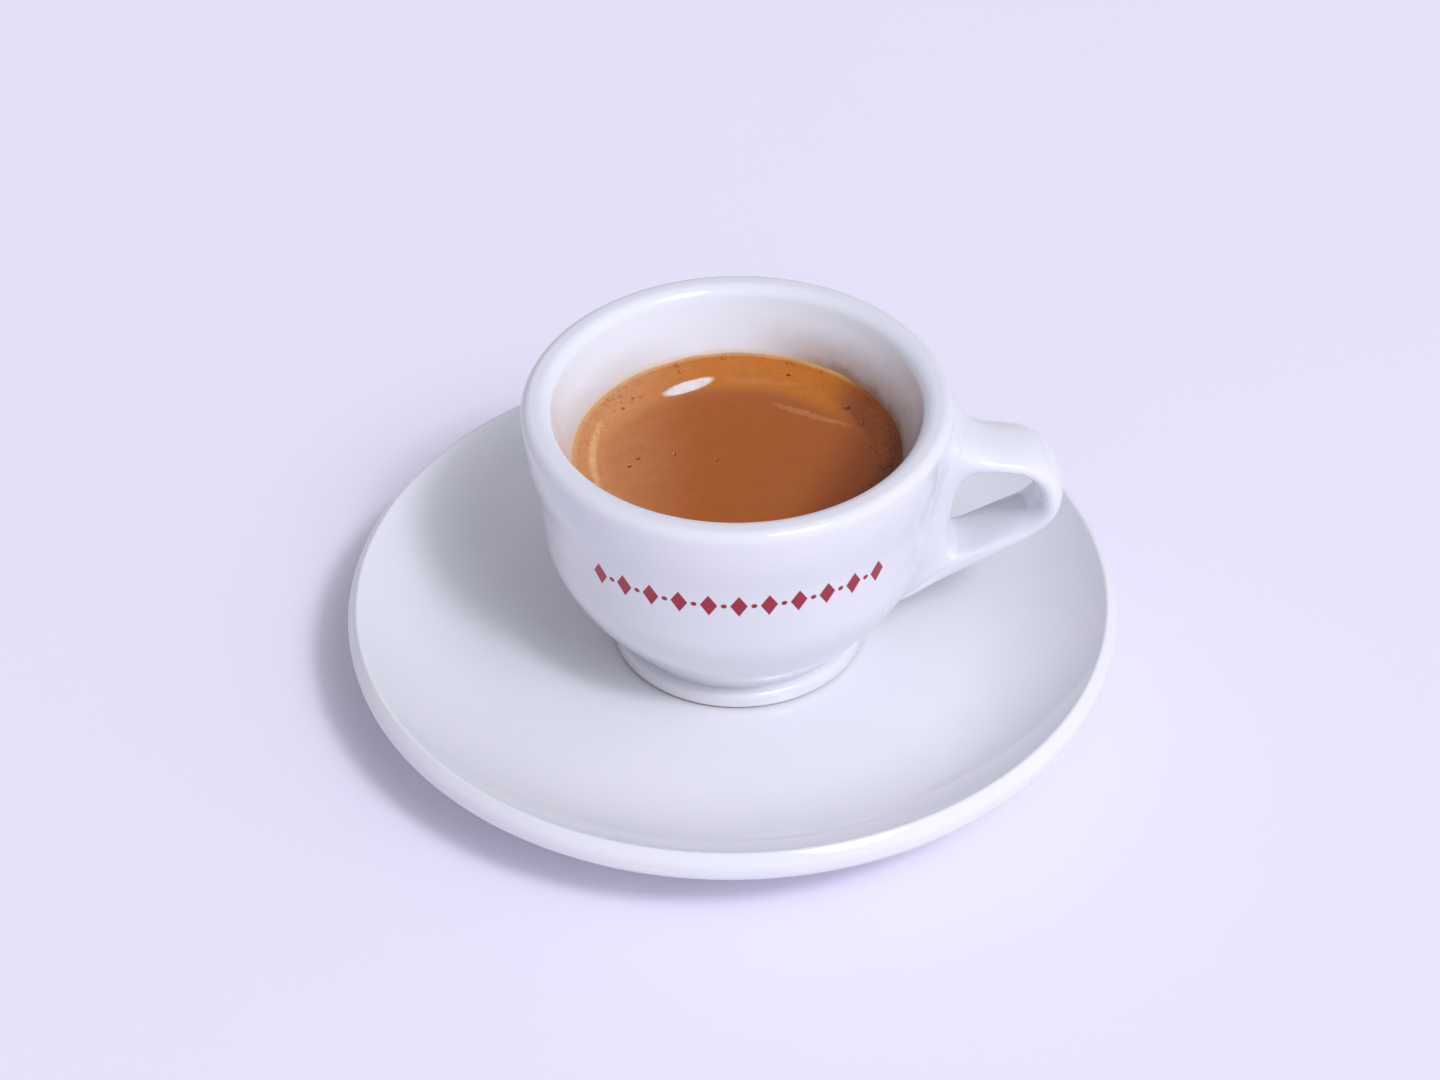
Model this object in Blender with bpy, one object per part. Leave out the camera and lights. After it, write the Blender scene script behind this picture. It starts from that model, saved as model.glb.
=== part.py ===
"""Espresso in a thick-walled porcelain cup on its saucer, in metres, +Z up.

The saucer's foot rests on Z = 0 with its axis on the Z axis. The cup stands on the
saucer's flat middle, a little off its centre, and its handle points along +X.
"""

import math

import bmesh
import bpy
from mathutils import Vector

MM = 0.001
GAP = 0.3 * MM
STEPS_AROUND = 64
AXIS_MERGE = 0.001 * MM

# Saucer, heights above the table
SAUCER_RADIUS = 61.0 * MM
SAUCER_FLOOR = 8.7 * MM
SAUCER_FLAT_RADIUS = 37.5 * MM
SAUCER_DISH_CURVE = 34.0 * MM
SAUCER_LIP_INSIDE = 59.0 * MM
SAUCER_LIP_CREST = (59.5 * MM, 16.75 * MM)
SAUCER_LIP_SHOULDER = 15.2 * MM
SAUCER_LIP_UNDER = 11.7 * MM
SAUCER_LIP_CREST_ROUND = 0.5 * MM
SAUCER_LIP_SHOULDER_ROUND = 2.0 * MM
SAUCER_LIP_UNDER_ROUND = 2.4 * MM
SAUCER_LIP_UNDER_RISE = 0.9 * MM
SAUCER_UNDER_RADIUS = 40.0 * MM
SAUCER_UNDER_HEIGHT = 4.2 * MM
SAUCER_FOOT_OUTSIDE = 34.0 * MM
SAUCER_FOOT_INSIDE = 30.0 * MM
SAUCER_FOOT_DEPTH = 3.2 * MM
SAUCER_FOOT_ROUND = 0.7 * MM

# Cup, heights above the underside of its foot
CUP_OFF_CENTRE = 1.0 * MM
CUP_HEIGHT = 45.5 * MM
CUP_LIP_OUTSIDE = 32.9 * MM
CUP_LIP_INSIDE = 28.8 * MM
CUP_LIP_OUTER_ROUND = 1.6 * MM
CUP_LIP_INNER_ROUND = 2.0 * MM
CUP_FOOT_OUTSIDE = 20.1 * MM
CUP_FOOT_INSIDE = 16.8 * MM
CUP_FOOT_HEIGHT = 2.5 * MM
CUP_FOOT_DEPTH = 1.8 * MM
CUP_FOOT_ROUND = 0.5 * MM
CUP_GROOVE_RADIUS = 18.6 * MM
CUP_GROOVE_RISE = 0.4 * MM
CUP_BODY = (
    (3.5 * MM, 18.9 * MM),
    (8.0 * MM, 22.6 * MM),
    (14.0 * MM, 27.0 * MM),
    (20.0 * MM, 29.7 * MM),
    (26.0 * MM, 30.4 * MM),
    (32.0 * MM, 31.1 * MM),
    (38.0 * MM, 32.4 * MM),
    (43.0 * MM, CUP_LIP_OUTSIDE),
)
CUP_INSIDE = (
    (6.5 * MM, 9.0 * MM),
    (9.0 * MM, 15.2 * MM),
    (14.0 * MM, 19.6 * MM),
    (21.0 * MM, 22.7 * MM),
    (28.0 * MM, 24.4 * MM),
    (35.0 * MM, 25.4 * MM),
    (40.0 * MM, 26.9 * MM),
    (43.2 * MM, 28.0 * MM),
)
CUP_FLOOR = 5.9 * MM

# Handle, each station one cut across it: (x, height) at the finger hole, then outside
HANDLE_STATIONS = (
    ((41.0 * MM, 33.5 * MM), (41.4 * MM, 37.4 * MM)),
    ((38.6 * MM, 33.6 * MM), (38.6 * MM, 37.8 * MM)),
    ((36.4 * MM, 33.4 * MM), (36.0 * MM, 38.6 * MM)),
    ((34.9 * MM, 32.7 * MM), (34.1 * MM, 39.9 * MM)),
    ((33.9 * MM, 31.5 * MM), (32.9 * MM, 41.4 * MM)),
    ((33.4 * MM, 29.8 * MM), (30.4 * MM, 41.0 * MM)),
    ((33.2 * MM, 27.0 * MM), (28.8 * MM, 34.0 * MM)),
    ((33.1 * MM, 24.0 * MM), (27.8 * MM, 26.0 * MM)),
    ((33.0 * MM, 21.0 * MM), (26.6 * MM, 19.0 * MM)),
    ((33.2 * MM, 18.9 * MM), (23.8 * MM, 13.0 * MM)),
    ((33.9 * MM, 18.0 * MM), (21.5 * MM, 9.2 * MM)),
    ((35.3 * MM, 18.3 * MM), (24.6 * MM, 9.0 * MM)),
    ((37.5 * MM, 19.4 * MM), (29.5 * MM, 11.6 * MM)),
    ((40.0 * MM, 20.9 * MM), (34.5 * MM, 14.5 * MM)),
    ((42.7 * MM, 22.6 * MM), (40.0 * MM, 17.6 * MM)),
    ((45.0 * MM, 24.6 * MM), (45.6 * MM, 20.7 * MM)),
    ((46.4 * MM, 27.2 * MM), (49.4 * MM, 24.4 * MM)),
    ((46.0 * MM, 30.2 * MM), (50.3 * MM, 29.0 * MM)),
    ((44.5 * MM, 32.4 * MM), (48.5 * MM, 33.9 * MM)),
    ((42.9 * MM, 33.2 * MM), (45.1 * MM, 36.5 * MM)),
)
HANDLE_WIDTH_TOP = 11.8 * MM
HANDLE_WIDTH_LOW = 10.4 * MM
HANDLE_WIDTH_LEVELS = (15.0 * MM, 36.0 * MM)
HANDLE_THICKNESS = 4.0 * MM
HANDLE_SQUARENESS = 2.1
HANDLE_STEPS_AROUND = 20
HANDLE_STEPS_BETWEEN = 3
HANDLE_ROOT_ROUND = 6.0 * MM
HANDLE_ROOT_SPREAD = 2.8 * MM
HANDLE_ROOT_NEAREST = 0.02

# Coffee, up to its foam
COFFEE_LEVEL = 34.6 * MM

CUP_BASE = SAUCER_FLOOR + GAP
SHARP_ANGLE = math.radians(35)


def clear_scene():
    """Remove every object that the startup scene holds."""
    for item in list(bpy.data.objects):
        bpy.data.objects.remove(item, do_unlink=True)


def through(stations, parts):
    """Points on a smooth curve through 2-D stations, `parts` to each span."""
    points = []
    last = len(stations) - 1
    for i in range(last):
        before, start, end, after = (
            Vector(stations[max(0, min(last, k))]) for k in (i - 1, i, i + 1, i + 2)
        )
        span = (end - start).length
        leave = slope_at(before, start, end) * span
        arrive = slope_at(start, end, after) * span
        for k in range(parts):
            t = k / parts
            points.append(
                start * (2 * t**3 - 3 * t**2 + 1)
                + leave * (t**3 - 2 * t**2 + t)
                + end * (3 * t**2 - 2 * t**3)
                + arrive * (t**3 - t**2)
            )
    points.append(Vector(stations[last]))
    return points


def slope_at(before, point, after):
    """Unit direction of the curve at a station, weighted to the nearer neighbour."""
    if (point - before).length == 0:
        return (after - point).normalized()
    if (after - point).length == 0:
        return (point - before).normalized()
    back = (point - before).normalized() / (point - before).length
    ahead = (after - point).normalized() / (after - point).length
    return (back + ahead).normalized()


def arc(centre, radius, start, end, parts):
    """Points on an arc between two angles in degrees."""
    turns = [math.radians(start + (end - start) * k / parts) for k in range(parts + 1)]
    return [Vector(centre) + radius * Vector((math.cos(t), math.sin(t))) for t in turns]


def rounded_corner(before, corner, after, radius, parts):
    """Points of an arc that rounds one corner of a profile."""
    corner = Vector(corner)
    back = (Vector(before) - corner).normalized()
    ahead = (Vector(after) - corner).normalized()
    half = back.angle(ahead) / 2
    reach = radius / math.tan(half)
    centre = corner + (back + ahead).normalized() * radius / math.sin(half)
    first = corner + back * reach - centre
    turn = (corner + ahead * reach - centre).angle_signed(first)
    points = []
    for k in range(parts + 1):
        a = turn * k / parts
        points.append(
            centre
            + Vector(
                (
                    first.x * math.cos(a) - first.y * math.sin(a),
                    first.x * math.sin(a) + first.y * math.cos(a),
                )
            )
        )
    return points


def turned(name, profile, centre, material):
    """Object made by turning an outline of (radius, height) points round an upright axis."""
    mesh = bpy.data.meshes.new(name)
    shape = bmesh.new()
    corners = [shape.verts.new((p[0], 0, p[1])) for p in profile]
    edges = [shape.edges.new(pair) for pair in zip(corners, corners[1:])]
    bmesh.ops.spin(
        shape,
        geom=corners + edges,
        cent=(0, 0, 0),
        axis=(0, 0, 1),
        angle=2 * math.pi,
        steps=STEPS_AROUND,
        use_merge=True,
    )
    bmesh.ops.remove_doubles(shape, verts=shape.verts, dist=AXIS_MERGE)
    bmesh.ops.recalc_face_normals(shape, faces=shape.faces)
    bmesh.ops.translate(shape, verts=shape.verts, vec=centre)
    return finished(name, mesh, shape, material)


def finished(name, mesh, shape, material):
    """Object holding the shape, with its material and smooth shading."""
    shape.to_mesh(mesh)
    shape.free()
    mesh.materials.append(material)
    item = bpy.data.objects.new(name, mesh)
    bpy.context.scene.collection.objects.link(item)
    smooth(mesh)
    return item


def smooth(mesh):
    """Shade smooth, apart from edges over the sharp angle."""
    mesh.shade_smooth()
    mesh.set_sharp_from_angle(angle=SHARP_ANGLE)


def new_material(name, colour, roughness):
    """Material with one colour and one roughness."""
    material = bpy.data.materials.new(name)
    material.use_nodes = True
    shader = material.node_tree.nodes["Principled BSDF"]
    shader.inputs["Base Color"].default_value = (*colour, 1)
    shader.inputs["Roughness"].default_value = roughness
    shader.inputs["Metallic"].default_value = 0
    return material


def saucer_profile():
    """Outline of the saucer from the axis under it, round its foot and lip, to the axis above."""
    foot = [
        (0, SAUCER_FOOT_DEPTH),
        (SAUCER_FOOT_INSIDE - SAUCER_FOOT_DEPTH / 2, SAUCER_FOOT_DEPTH),
        (SAUCER_FOOT_INSIDE, 0),
        (SAUCER_FOOT_OUTSIDE, 0),
        (SAUCER_FOOT_OUTSIDE + SAUCER_FOOT_ROUND, SAUCER_UNDER_HEIGHT - SAUCER_FOOT_ROUND),
        (SAUCER_UNDER_RADIUS, SAUCER_UNDER_HEIGHT),
        (SAUCER_RADIUS - 2 * SAUCER_LIP_UNDER_ROUND, SAUCER_LIP_UNDER - SAUCER_LIP_UNDER_RISE),
        (SAUCER_RADIUS, SAUCER_LIP_UNDER),
        (SAUCER_RADIUS, SAUCER_LIP_SHOULDER),
        SAUCER_LIP_CREST,
    ]
    points = [Vector(foot[0]), Vector(foot[1])]
    points += rounded_corner(foot[1], foot[2], foot[3], SAUCER_FOOT_ROUND, 2)
    points += rounded_corner(foot[2], foot[3], foot[4], SAUCER_FOOT_ROUND, 2)
    points += [Vector(foot[4])]
    points += through(foot[5:7], 3)[:-1]
    points += rounded_corner(foot[6], foot[7], foot[8], SAUCER_LIP_UNDER_ROUND, 3)
    dish = dish_points()
    points += rounded_corner(foot[7], foot[8], foot[9], SAUCER_LIP_SHOULDER_ROUND, 2)
    points += rounded_corner(foot[8], foot[9], dish[0], SAUCER_LIP_CREST_ROUND, 2)
    return points + dish


def dish_points():
    """Upper side of the saucer, from its lip down to the axis."""
    run = SAUCER_LIP_INSIDE - SAUCER_FLAT_RADIUS
    end = math.degrees(math.asin(run / SAUCER_DISH_CURVE))
    centre = (SAUCER_FLAT_RADIUS, SAUCER_FLOOR + SAUCER_DISH_CURVE)
    return arc(centre, SAUCER_DISH_CURVE, end - 90, -90, 9) + [Vector((0, SAUCER_FLOOR))]


def by_radius(stations):
    """Stations of (height, radius) turned into (radius, height)."""
    return [(radius, height) for height, radius in stations]


def cup_profile():
    """Outline of the cup from the axis under it, round its foot and lip, to the axis inside."""
    outer, inner = ((radius, CUP_HEIGHT) for radius in (CUP_LIP_OUTSIDE, CUP_LIP_INSIDE))
    foot = [
        (CUP_FOOT_INSIDE - CUP_FOOT_DEPTH / 2, CUP_FOOT_DEPTH),
        (CUP_FOOT_INSIDE, 0),
        (CUP_FOOT_OUTSIDE, 0),
        (CUP_FOOT_OUTSIDE, CUP_FOOT_HEIGHT),
        (CUP_GROOVE_RADIUS, CUP_FOOT_HEIGHT + CUP_GROOVE_RISE),
    ]
    points = [Vector((0, CUP_FOOT_DEPTH)), Vector(foot[0])]
    points += rounded_corner(foot[0], foot[1], foot[2], CUP_FOOT_ROUND, 2)
    points += rounded_corner(foot[1], foot[2], foot[3], CUP_FOOT_ROUND, 2)
    points += rounded_corner(foot[2], foot[3], foot[4], 2 * CUP_FOOT_ROUND, 3)
    points += [Vector(foot[4])]
    body = through(by_radius(CUP_BODY), 2)
    wall = through(by_radius(CUP_INSIDE), 2)[::-1]
    points += body
    points += rounded_corner(body[-1], outer, inner, CUP_LIP_OUTER_ROUND, 4)
    points += rounded_corner(outer, inner, wall[0], CUP_LIP_INNER_ROUND, 3)
    points += wall
    return points + [Vector((0, CUP_FLOOR))]


def coffee_profile():
    """Outline of the coffee, one gap inside the cup, from the axis at the bottom to its top."""
    wall = [p for p in through(by_radius(CUP_INSIDE), 2) if p.y < COFFEE_LEVEL - GAP]
    level = inside_radius(COFFEE_LEVEL) - GAP
    points = [Vector((0, CUP_FLOOR + GAP))]
    points += [Vector((p.x - GAP, p.y + GAP / 2)) for p in wall]
    return points + [Vector((level, COFFEE_LEVEL)), Vector((0, COFFEE_LEVEL))]


def radius_at(stations, height):
    """Radius of a smooth side at a height."""
    points = through(by_radius(stations), 12)
    if height <= points[0].y:
        return points[0].x
    for low, high in zip(points, points[1:]):
        if low.y <= height <= high.y:
            return low.x + (high.x - low.x) * (height - low.y) / (high.y - low.y)
    return points[-1].x


def inside_radius(height):
    """Radius of the cup's inner wall at a height."""
    return radius_at(CUP_INSIDE, height)


def off_body(point):
    """Distance of a point outside the cup's wall, less than nothing inside it."""
    step = 0.5 * MM
    rise = radius_at(CUP_BODY, point.z + step) - radius_at(CUP_BODY, point.z - step)
    level = math.cos(math.atan2(rise, 2 * step))
    return (math.hypot(point.x, point.y) - radius_at(CUP_BODY, point.z)) * level


def handle_width(height):
    """Width of the handle at a height, a little less lower down."""
    low, high = HANDLE_WIDTH_LEVELS
    share = max(0.0, min(1.0, (height - low) / (high - low)))
    return HANDLE_WIDTH_LOW + (HANDLE_WIDTH_TOP - HANDLE_WIDTH_LOW) * share


def section(inner, outer):
    """Outline of one cut across the handle, widening where it runs into the cup's wall."""
    middle = (inner + outer) / 2
    half = (outer - inner) / 2
    squareness = HANDLE_SQUARENESS * max(1.0, 2 * half.length / HANDLE_THICKNESS)
    points = []
    for k in range(HANDLE_STEPS_AROUND):
        turn = 2 * math.pi * k / HANDLE_STEPS_AROUND
        wide, deep = (
            math.copysign(abs(v) ** (2 / squareness), v) for v in (math.cos(turn), math.sin(turn))
        )
        flat = middle + half * deep
        point = Vector((flat.x, wide * handle_width(flat.y) / 2, flat.y))
        near = off_body(point) / HANDLE_ROOT_ROUND
        share = max(HANDLE_ROOT_NEAREST, min(1.0, near))
        point.y += wide * HANDLE_ROOT_SPREAD * (1 - math.sqrt(1 - (1 - share) ** 2))
        points.append(point)
    return points


def handle_rings():
    """Cuts across the handle, one after another round its finger hole."""
    inner, outer = (closed_through([pair[k] for pair in HANDLE_STATIONS]) for k in (0, 1))
    return [section(a, b) for a, b in zip(inner, outer)]


def closed_through(stations):
    """Points on a smooth closed curve through 2-D stations."""
    looped = stations[-2:] + stations + stations[:3]
    points = through(looped, HANDLE_STEPS_BETWEEN)
    return points[2 * HANDLE_STEPS_BETWEEN : -3 * HANDLE_STEPS_BETWEEN + HANDLE_STEPS_BETWEEN - 1]


def placed(corners, points):
    """Move each corner to its point."""
    for corner, point in zip(corners, points):
        corner.co = point


def build_handle(centre, material):
    """Handle as its own closed ring, whose back lies in the cup's wall."""
    mesh = bpy.data.meshes.new("handle")
    shape = bmesh.new()
    rings = handle_rings()
    circle = bmesh.ops.create_circle(shape, segments=HANDLE_STEPS_AROUND, radius=MM)
    front = list(circle["verts"])
    placed(front, rings[0])
    for ring in rings[1:] + rings[:1]:
        rim = [e for e in shape.edges if e.verts[0] in front and e.verts[1] in front]
        made = bmesh.ops.extrude_edge_only(shape, edges=rim)
        fresh = {v for v in made["geom"] if isinstance(v, bmesh.types.BMVert)}
        front = [
            next(e.other_vert(v) for e in v.link_edges if e.other_vert(v) in fresh) for v in front
        ]
        placed(front, ring)
    bmesh.ops.remove_doubles(shape, verts=shape.verts, dist=AXIS_MERGE)
    bmesh.ops.recalc_face_normals(shape, faces=shape.faces)
    bmesh.ops.translate(shape, verts=shape.verts, vec=centre)
    return finished("handle", mesh, shape, material)


def joined(item, tool):
    """Unite a second object with the first, and remove the second."""
    union = item.modifiers.new("join", "BOOLEAN")
    union.operation = "UNION"
    union.solver = "EXACT"
    union.object = tool
    bpy.context.view_layer.update()
    graph = bpy.context.evaluated_depsgraph_get()
    result = bpy.data.meshes.new_from_object(item.evaluated_get(graph))
    item.modifiers.clear()
    item.data = result
    bpy.data.objects.remove(tool, do_unlink=True)
    smooth(result)
    return item


def main():
    """Build the saucer, the cup with its handle, and the coffee."""
    clear_scene()
    porcelain = new_material("porcelain", (0.80, 0.79, 0.86), 0.12)
    coffee = new_material("coffee", (0.33, 0.11, 0.035), 0.35)
    cup_centre = Vector((CUP_OFF_CENTRE, 0, CUP_BASE))
    turned("saucer", saucer_profile(), Vector((0, 0, 0)), porcelain)
    cup = turned("cup", cup_profile(), cup_centre, porcelain)
    joined(cup, build_handle(cup_centre, porcelain))
    turned("espresso", coffee_profile(), cup_centre, coffee)


main()
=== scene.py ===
"""Looks of an espresso in a thick-walled porcelain cup on its saucer, in metres, +Z up.

Each sub-assembly repeats the driving sizes of its solid and turns them into a finer mesh; only
the cup's lip is a little rounder inside. Glaze, coffee stains, enamel ornament and foam are
procedural materials on Object coordinates. The stains carry painted shade and a painted
reflection, and the foam painted shadow, painted highlights and a painted reflection.
"""

import logging
import math
from collections.abc import Callable, Iterable, Mapping, Sequence
from dataclasses import dataclass, field
from enum import Enum
from functools import cache, cached_property
from random import Random
from typing import Any

import bmesh
import bpy
from mathutils import Matrix, Vector, noise


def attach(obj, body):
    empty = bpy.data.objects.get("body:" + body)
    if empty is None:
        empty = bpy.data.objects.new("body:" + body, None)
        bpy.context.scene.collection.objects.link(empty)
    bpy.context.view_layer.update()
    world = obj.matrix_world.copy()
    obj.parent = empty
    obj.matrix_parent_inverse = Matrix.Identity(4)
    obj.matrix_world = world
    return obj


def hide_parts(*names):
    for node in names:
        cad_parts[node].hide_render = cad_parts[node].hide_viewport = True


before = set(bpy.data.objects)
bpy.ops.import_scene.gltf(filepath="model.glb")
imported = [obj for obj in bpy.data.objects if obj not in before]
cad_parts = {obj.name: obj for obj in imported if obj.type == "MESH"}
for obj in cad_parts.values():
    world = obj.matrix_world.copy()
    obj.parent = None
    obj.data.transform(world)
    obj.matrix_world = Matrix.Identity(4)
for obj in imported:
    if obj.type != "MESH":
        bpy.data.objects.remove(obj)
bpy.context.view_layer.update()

MM = 0.001
AXIS_MERGE = 0.001 * MM
MIX_SOCKETS = (6, 7, 2)
SHARP_ANGLE = math.radians(35)
BLENDED_ANGLE = math.radians(80)
log = logging.getLogger("espresso")

Pair = tuple[float, float]
Colour = tuple[float, float, float]
Direction = tuple[float, float, float]
Owner = bpy.types.Material | bpy.types.World


class Solid(Enum):
    """The solids that the pieces dress, by the names of their nodes and slots."""

    SAUCER = "saucer"
    CUP = "cup"
    ESPRESSO = "espresso"


class Signal:
    """A node's output that takes part in Python arithmetic, one Math node for each operator."""

    def __init__(self, recipe: "Recipe", socket: bpy.types.NodeSocket) -> None:
        """Keep the recipe whose nodes the arithmetic adds to."""
        self.recipe = recipe
        self.socket = socket

    def __add__(self, other: "Signal | float") -> "Signal":
        """This value plus another."""
        return self.recipe.maths("ADD", self, other)

    def __sub__(self, other: "Signal | float") -> "Signal":
        """This value less another."""
        return self.recipe.maths("SUBTRACT", self, other)

    def __rsub__(self, other: float) -> "Signal":
        """A number less this value."""
        return self.recipe.maths("SUBTRACT", other, self)

    def __mul__(self, other: "Signal | float") -> "Signal":
        """This value times another."""
        return self.recipe.maths("MULTIPLY", self, other)

    def __truediv__(self, other: "Signal | float") -> "Signal":
        """This value divided by another."""
        return self.recipe.maths("DIVIDE", self, other)

    def __abs__(self) -> "Signal":
        """This value without its sign."""
        return self.recipe.maths("ABSOLUTE", self)

    __radd__ = __add__
    __rmul__ = __mul__

    def at_least(self, other: "Signal | float") -> "Signal":
        """The greater of two values."""
        return self.recipe.maths("MAXIMUM", self, other)

    def rise(self, low: float, high: float) -> "Signal":
        """A smooth step from 0 below `low` to 1 above `high`, or down where low exceeds high."""
        return self.recipe.node(
            "ShaderNodeMapRange",
            {"interpolation_type": "SMOOTHSTEP"},
            {"Value": self, "From Min": low, "From Max": high},
        )


class Recipe:
    """The nodes of a material or of the surround, all leading to its one shader."""

    def __init__(self, owner: Owner, shader: str = "Principled BSDF") -> None:
        """Start from the owner's shader alone."""
        owner.use_nodes = True
        self.owner = owner
        self.tree = owner.node_tree
        self.shader = self.tree.nodes[shader]

    def node(
        self,
        kind: str,
        settings: Mapping[str, Any] | None = None,
        sockets: Mapping[str | int, Any] | None = None,
        output: str | int = 0,
    ) -> Signal:
        """Add a node.

        Args:
            kind: the node's type name.
            settings: its settings, set before its sockets.
            sockets: a value or a Signal for each input, by name or number.
            output: the output that is returned.

        Returns:
            The chosen output.
        """
        made = self.tree.nodes.new(kind)
        for name, value in (settings or {}).items():
            setattr(made, name, value)
        for name, value in (sockets or {}).items():
            self.feed(made.inputs[name], value)
        return Signal(self, made.outputs[output])

    def feed(self, socket: bpy.types.NodeSocket, value: Any) -> None:
        """Link a Signal to a socket, or set its value."""
        if isinstance(value, Signal):
            self.tree.links.new(value.socket, socket)
        elif socket.type == "RGBA" and len(value) == 3:
            socket.default_value = (*value, 1.0)
        else:
            socket.default_value = value

    def maths(self, operation: str, *values: "Signal | float") -> Signal:
        """Add a Math node on one or two values."""
        return self.node("ShaderNodeMath", {"operation": operation}, dict(enumerate(values)))

    def vectors(self, operation: str, *values: Any, output: str = "Vector") -> Signal:
        """Add a Vector Math node on one or two vectors."""
        return self.node(
            "ShaderNodeVectorMath", {"operation": operation}, dict(enumerate(values)), output
        )

    def layer(self, under: Signal | Colour, over: Colour, share: Signal) -> Signal:
        """Put one colour over another.

        Args:
            under: the colour below.
            over: the colour on top.
            share: how much of the top one shows, 0 to 1.

        Returns:
            The mixed colour.
        """
        below, above, mixed = MIX_SOCKETS
        sockets = {"Factor": share, below: under, above: over}
        return self.node("ShaderNodeMix", {"data_type": "RGBA"}, sockets, mixed)

    def flat(self, x: Signal, y: Signal) -> Signal:
        """A vector without height."""
        return self.node("ShaderNodeCombineXYZ", sockets={0: x, 1: y})

    def length(self, vector: Signal) -> Signal:
        """A vector's length."""
        return self.vectors("LENGTH", vector, output="Value")

    def along(self, vector: Signal, direction: Direction) -> Signal:
        """How far a vector reaches in a direction."""
        return self.vectors("DOT_PRODUCT", vector, direction, output="Value")

    def cells(self, place: Signal, spacing: float) -> Signal:
        """Distance to the middle of the nearest of many cells, `spacing` millimetres apart."""
        sockets = {"Vector": place, "Scale": 1 / spacing}
        return self.node("ShaderNodeTexVoronoi", sockets=sockets, output="Distance")

    def place(self, centre: Vector) -> Signal:
        """Object coordinates measured from a centre, in millimetres."""
        coordinates = self.node("ShaderNodeTexCoord", output="Object")
        scale = 1 / MM
        return self.node(
            "ShaderNodeMapping",
            {"vector_type": "POINT"},
            {
                "Vector": coordinates,
                "Location": tuple(-scale * c for c in centre),
                "Scale": (scale, scale, scale),
            },
        )

    def axes(self, place: Signal) -> list[Signal]:
        """The x, y and z of a place."""
        return [self.node("ShaderNodeSeparateXYZ", sockets={0: place}, output=k) for k in range(3)]

    def relief(self, height: Signal, depth: float, under: Signal | None = None) -> Signal:
        """A bump of that depth in metres, over another bump if one is given."""
        sockets: dict[str | int, Any] = {"Height": height, "Distance": depth, "Strength": 1.0}
        if under is not None:
            sockets["Normal"] = under
        return self.node("ShaderNodeBump", sockets=sockets)

    def finish(self, **sockets: Any) -> bpy.types.Material:
        """Feed the shader's sockets, named with _ for a space, and return the material."""
        for name, value in sockets.items():
            self.feed(self.shader.inputs[name.replace("_", " ")], value)
        return self.owner


class Outline:
    """Points of (radius, height), laid one after another as a lathe would cut them."""

    def __init__(self, *points: Pair) -> None:
        """Start with these points."""
        self.points = [Vector(point) for point in points]

    def to(self, *points: Pair) -> "Outline":
        """Go straight through more points."""
        self.points += [Vector(point) for point in points]
        return self

    def corner(self, before: Pair, at: Pair, after: Pair, radius: float, parts: int) -> "Outline":
        """Round the corner between two straights.

        Args:
            before: a point on the straight that arrives.
            at: the sharp corner.
            after: a point on the straight that leaves.
            radius: the rounding's radius.
            parts: how many straights stand for the arc.

        Returns:
            This outline.
        """
        corner = Vector(at)
        back = (Vector(before) - corner).normalized()
        ahead = (Vector(after) - corner).normalized()
        half = back.angle(ahead) / 2
        centre = corner + (back + ahead).normalized() * radius / math.sin(half)
        first = corner + back * radius / math.tan(half) - centre
        last = corner + ahead * radius / math.tan(half) - centre
        turn = last.angle_signed(first)
        for k in range(parts + 1):
            self.points.append(centre + Matrix.Rotation(turn * k / parts, 2) @ first)
        return self

    def arc(self, centre: Pair, radius: float, start: float, end: float, parts: int) -> "Outline":
        """Follow an arc between two angles in degrees."""
        for k in range(parts + 1):
            turn = math.radians(start + (end - start) * k / parts)
            self.points.append(Vector(centre) + radius * Vector((math.cos(turn), math.sin(turn))))
        return self

    def curve(self, stations: Sequence[Pair], parts: int, backwards: bool = False) -> "Outline":
        """Follow a smooth curve through stations, `parts` straights to each span."""
        points = smooth_line(stations, parts)
        self.points += reversed(points) if backwards else points
        return self


def slope_at(before: Vector, point: Vector, after: Vector) -> Vector:
    """Unit direction of a curve at a station, weighted to the nearer neighbour."""
    if (point - before).length == 0:
        return (after - point).normalized()
    if (after - point).length == 0:
        return (point - before).normalized()
    back = (point - before).normalized() / (point - before).length
    ahead = (after - point).normalized() / (after - point).length
    return (back + ahead).normalized()


def smooth_line(stations: Sequence[Pair], parts: int) -> list[Vector]:
    """Points on a smooth curve through 2-D stations.

    Args:
        stations: the points that the curve goes through.
        parts: how many straights stand for each span between two of them.

    Returns:
        The points, ends included.
    """
    points = []
    last = len(stations) - 1
    for i in range(last):
        before, start, end, after = (
            Vector(stations[max(0, min(last, k))]) for k in (i - 1, i, i + 1, i + 2)
        )
        span = (end - start).length
        leave = slope_at(before, start, end) * span
        arrive = slope_at(start, end, after) * span
        for k in range(parts):
            t = k / parts
            points.append(
                start * (2 * t**3 - 3 * t**2 + 1)
                + leave * (t**3 - 2 * t**2 + t)
                + end * (3 * t**2 - 2 * t**3)
                + arrive * (t**3 - t**2)
            )
    points.append(Vector(stations[last]))
    return points


def smooth_ring(stations: Sequence[Pair], parts: int) -> list[Vector]:
    """Points on a smooth closed curve through 2-D stations, the first one not repeated."""
    lead = 2
    looped = list(stations[-lead:]) + list(stations) + list(stations[:lead])
    points = smooth_line(looped, parts)
    return points[lead * parts : (lead + len(stations)) * parts]


def by_radius(stations: Iterable[Pair]) -> list[Pair]:
    """Stations of (height, radius) in millimetres, as (radius, height) in metres."""
    return [(radius * MM, height * MM) for height, radius in stations]


@cache
def fine_side(stations: tuple[Pair, ...]) -> list[Vector]:
    """Close points on a side of the cup, worked out once for each side."""
    return smooth_line(by_radius(stations), 12)


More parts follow.
